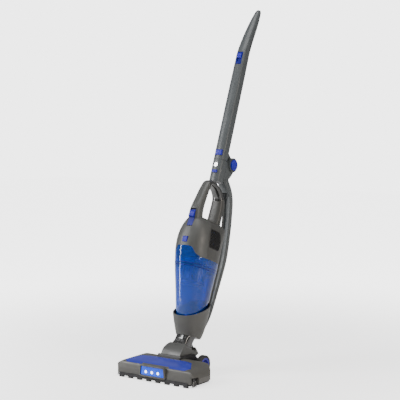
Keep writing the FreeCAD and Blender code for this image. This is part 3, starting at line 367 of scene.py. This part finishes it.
def strand(bm, pts, r0, r1, sides=5):
    """Tapered fibre through points."""
    rings = []
    for i, p in enumerate(pts):
        t = (pts[min(i + 1, len(pts) - 1)] - pts[max(i - 1, 0)]).normalized()
        a = t.orthogonal().normalized()
        b = t.cross(a)
        r = r0 + (r1 - r0) * i / (len(pts) - 1)
        rings.append([bm.verts.new(p + (a * math.cos(2 * math.pi * k / sides) + b * math.sin(2 * math.pi * k / sides)) * r) for k in range(sides)])
    for i in range(len(rings) - 1):
        for k in range(sides):
            bm.faces.new((rings[i][k], rings[i][(k + 1) % sides], rings[i + 1][(k + 1) % sides], rings[i + 1][k]))
    bm.faces.new(list(reversed(rings[0])))
    bm.faces.new(rings[-1])


b_ = Mat("nylon_fibre")
bn = b_.noise(700.0, 3.0, 0.6)
b_.nt.links.new(b_.ramp(bn.outputs["Fac"], 0.35, (0.008, 0.008, 0.009), 0.75, (0.10, 0.10, 0.11)).outputs["Color"], b_.bsdf.inputs["Base Color"])
b_.bsdf.inputs["Roughness"].default_value = 0.38
M["fibre"] = b_
M["fibre_light"] = Mat("nylon_fibre_light")
q = M["fibre_light"]
qn = q.noise(700.0, 3.0, 0.6)
q.nt.links.new(q.ramp(qn.outputs["Fac"], 0.3, (0.42, 0.42, 0.40), 0.7, (0.72, 0.72, 0.70)).outputs["Color"], q.bsdf.inputs["Base Color"])
q.bsdf.inputs["Roughness"].default_value = 0.4

# side brushes: a dark moulded holder and three tufts of fine fibre, light fibres among dark ones
for sx, tag in ((1, "r"), (-1, "l")):
    bm = bmesh.new()
    bl = bmesh.new()
    for j, (y, lean) in enumerate(((-50, -2.2), (-45, -0.4), (-40, 1.4))):
        for i in range(46):
            a, rr = random.uniform(0, 2 * math.pi), 1.9 * math.sqrt(random.random())
            dx, dy = rr * math.cos(a), rr * math.sin(a)
            spread = 1.45
            top = H(sx * 127.0 + dx * 0.8, y + dy * 0.8, 21.5)
            end = H(sx * 129.0 + dx * spread, y + lean + dy * spread, 1.6 + random.uniform(0, 1.3))
            mid = (top + end) / 2 + Vector((sx * 0.0002, 0, 0))
            strand(bl if (i % 5 == 0 or abs(dy) < 0.35) else bm, [top, mid, end], 0.00030, 0.00016, 4)
    o1 = new_obj("side_tuft_dark_" + tag, bm, M["fibre"], "floor_head")
    o2 = new_obj("side_tuft_light_" + tag, bl, M["fibre_light"], "floor_head")
    bm = bmesh.new()
    ring = []
    xs = (124.6, 129.4)
    for x in xs:
        ring.append([bm.verts.new(H(sx * x, yy, zz)) for yy, zz in ((-53, 19.6), (-52, 18.2), (-37, 18.2), (-36, 19.6), (-36, 24.2), (-37, 25), (-52, 25), (-53, 24.2))])
    n = 8
    for k in range(n):
        bm.faces.new((ring[0][k], ring[0][(k + 1) % n], ring[1][(k + 1) % n], ring[1][k]))
    bm.faces.new(ring[0][::-1])
    bm.faces.new(ring[1])
    bmesh.ops.recalc_face_normals(bm, faces=bm.faces[:])
    o3 = new_obj("side_tuft_holder_" + tag, bm, M["dark"], "floor_head", False)
    bv = o3.modifiers.new("edge", "BEVEL")
    bv.width = 0.0005
    bv.segments = 2
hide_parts("side_tufts")

# brush roll tufts: two helical rows of fibre, each way
bm = bmesh.new()
bl = bmesh.new()
RY, RZ = -28.0, 22.6
for k in range(4):
    for i in range(61):
        x = -90 + 3.0 * i
        a0 = math.radians(90 * k + 11 * (x + 87) / 14.5)
        for j in range(5):
            a = a0 + random.uniform(-0.06, 0.06)
            xx = x + random.uniform(-1.3, 1.3)
            d = Vector((0, math.cos(a), math.sin(a)))
            p0 = H(xx, RY, RZ) + d * 0.0096
            p1 = H(xx + random.uniform(-0.8, 0.8), RY, RZ) + d * random.uniform(0.0196, 0.0206)
            strand(bl if k % 2 else bm, [p0, (p0 + p1) / 2, p1], 0.00034, 0.0002, 3)
o = new_obj("brush_tufts_dark", bm, M["fibre"], "brush_roll")
o2 = new_obj("brush_tufts_light", bl, M["fibre_light"], "brush_roll")
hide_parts("brush_bristles")


def loops_at(node, co, no):
    """Closed outlines where a plane cuts a CAD node, longest first."""
    bm = bmesh.new()
    bm.from_mesh(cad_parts[node].data)
    bmesh.ops.remove_doubles(bm, verts=bm.verts[:], dist=1e-5)
    r = bmesh.ops.bisect_plane(bm, geom=bm.verts[:] + bm.edges[:] + bm.faces[:], plane_co=co, plane_no=no)
    edges = [e for e in r["geom_cut"] if isinstance(e, bmesh.types.BMEdge)]
    left = set(edges)
    out = []
    while left:
        e = left.pop()
        a, b = e.verts
        chain = [a.co.copy(), b.co.copy()]
        cur, first = b, a
        while cur is not first:
            nxt = [f for f in cur.link_edges if f in left]
            if not nxt:
                break
            e = nxt[0]
            left.discard(e)
            cur = e.other_vert(cur)
            chain.append(cur.co.copy())
        if len(chain) > 6:
            out.append(chain)
    bm.free()
    out.sort(key=lambda c: -sum((c[i] - c[i - 1]).length for i in range(1, len(c))))
    return out


def resample(chain, n):
    if (chain[0] - chain[-1]).length < 1e-6:
        chain = chain[:-1]
    pts = chain + [chain[0]]
    ds = [0.0]
    for i in range(1, len(pts)):
        ds.append(ds[-1] + (pts[i] - pts[i - 1]).length)
    out = []
    j = 0
    for k in range(n):
        t = ds[-1] * k / n
        while ds[j + 1] < t:
            j += 1
        f = (t - ds[j]) / max(1e-9, ds[j + 1] - ds[j])
        out.append(pts[j].lerp(pts[j + 1], f))
    return out


def band(name, node, s, half, proud, mat, body, n=160):
    """Thin raised band round a node at height s up the stick."""
    co = S(0, 0, s)
    ch = loops_at(node, co, S_AX)
    if not ch:
        return None
    pts = resample(ch[0], n)
    cen = sum(pts, Vector()) / n
    bm = bmesh.new()
    rows = []
    prof = ((-half, -0.0006), (-half * 0.8, proud * 0.8), (0, proud), (half * 0.8, proud * 0.8), (half, -0.0006))
    for k, p in enumerate(pts):
        t = (pts[(k + 1) % n] - pts[k - 1]).normalized()
        out = t.cross(S_AX).normalized()
        if out.dot(p - cen) < 0:
            out = -out
        rows.append([bm.verts.new(p + S_AX * a + out * b) for a, b in prof])
    for k in range(n):
        a, b = rows[k], rows[(k + 1) % n]
        for i in range(len(prof)):
            j = (i + 1) % len(prof)
            bm.faces.new((a[i], b[i], b[j], a[j]))
    bmesh.ops.recalc_face_normals(bm, faces=bm.faces[:])
    return new_obj(name, bm, mat, body)


band("cup_band_upper", "cup_shell", 247.0, 0.0011, 0.0005, M["blue_dark"], "dust_cup")
band("cup_band_lower", "cup_shell", 240.0, 0.0011, 0.0005, M["blue_dark"], "dust_cup")

for node, width in (("head_shell", 0.0010), ("lamp_bezel", 0.0008), ("frame_column", 0.0010), ("frame_collar", 0.0009), ("handle_front", 0.0008), ("handle_rear", 0.0008), ("tilt_drum", 0.0008), ("pivot_cradle", 0.0009), ("neck_elbow", 0.0008), ("sole_plate", 0.0006)):
    soften(node, width)

# ------------------------------------------------------------------ stage, light, camera
bm = bmesh.new()
bmesh.ops.create_grid(bm, x_segments=2, y_segments=2, size=6.0)
fl = bpy.data.meshes.new("floor")
bm.to_mesh(fl)
bm.free()
floor = bpy.data.objects.new("floor", fl)
floor.location = (0, 0, -0.0005)
bpy.context.scene.collection.objects.link(floor)
fm = Mat("floor_pale")
fn = fm.noise(3.0, 2.0)
fm.nt.links.new(fm.ramp(fn.outputs["Fac"], 0.3, (0.90, 0.90, 0.90), 0.7, (0.93, 0.93, 0.93)).outputs["Color"], fm.bsdf.inputs["Base Color"])
fm.bsdf.inputs["Roughness"].default_value = 0.7
fm.bsdf.inputs["Specular IOR Level"].default_value = 0.1
fr = fm.node("ShaderNodeVectorMath", operation="LENGTH")
fm.nt.links.new(fm.co.outputs["Object"], fr.inputs[0])
glow = fm.mapr(fr.outputs["Value"], 0.35, 1.7, 1.7, 3.6, True)
seen = fm.node("ShaderNodeLightPath")
fm.nt.links.new(fm.math("MULTIPLY", glow, fm.math("ADD", fm.math("MULTIPLY", seen.outputs["Is Camera Ray"], 0.92), 0.08)), fm.bsdf.inputs["Emission Strength"])
fm.bsdf.inputs["Emission Color"].default_value = (1, 1, 1, 1)
fl.materials.append(fm.m)

world = bpy.data.worlds.new("studio") if not bpy.context.scene.world else bpy.context.scene.world
bpy.context.scene.world = world
world.use_nodes = True
bgn = world.node_tree.nodes.get("Background") or world.node_tree.nodes.new("ShaderNodeBackground")
bgn.inputs["Color"].default_value = (1.0, 1.0, 1.0, 1)
bgn.inputs["Strength"].default_value = 0.30
bright = world.node_tree.nodes.new("ShaderNodeBackground")
bright.inputs["Color"].default_value = (1.0, 1.0, 1.0, 1)
bright.inputs["Strength"].default_value = 4.0
ray = world.node_tree.nodes.new("ShaderNodeLightPath")
pick = world.node_tree.nodes.new("ShaderNodeMixShader")
wout = [n for n in world.node_tree.nodes if n.type == "OUTPUT_WORLD"][0]
world.node_tree.links.new(ray.outputs["Is Camera Ray"], pick.inputs[0])
world.node_tree.links.new(bgn.outputs[0], pick.inputs[1])
world.node_tree.links.new(bright.outputs[0], pick.inputs[2])
world.node_tree.links.new(pick.outputs[0], wout.inputs["Surface"])


def area(name, loc, target, size, power, col=(1, 1, 1), size_y=None):
    d = bpy.data.lights.new(name, "AREA")
    d.energy = power
    d.color = col
    d.size = size
    if size_y:
        d.shape = "RECTANGLE"
        d.size_y = size_y
    o = bpy.data.objects.new(name, d)
    o.location = loc
    o.rotation_euler = (Vector(target) - Vector(loc)).to_track_quat("-Z", "Y").to_euler()
    bpy.context.scene.collection.objects.link(o)
    return o


area("top", (0.2, -0.4, 2.6), (0, 0, 0.2), 1.6, 34.0)
area("key", (-1.5, -1.7, 1.5), (0, 0, 0.45), 0.8, 24.0)
area("strip_left", (-1.0, -0.9, 0.7), (0, -0.05, 0.5), 0.16, 12.0, size_y=1.6)
area("strip_right", (1.55, -0.35, 0.9), (0, 0.0, 0.5), 0.22, 14.0, (1.0, 0.90, 0.80), size_y=1.5)

AZ, EL = math.radians(35.0), math.radians(5.0)
back = Vector((math.sin(AZ) * math.cos(EL), -math.cos(AZ) * math.cos(EL), math.sin(EL)))
aim = Vector((0.1144, 0.0016 + SH, 0.5039))
cd = bpy.data.cameras.new("camera")
cd.sensor_width = 36.0
cd.lens = 99.0
cam = bpy.data.objects.new("camera", cd)
cam.location = aim + back * 2.9654
cam.rotation_euler = (-back).to_track_quat("-Z", "Y").to_euler()
bpy.context.scene.collection.objects.link(cam)
bpy.context.scene.camera = cam
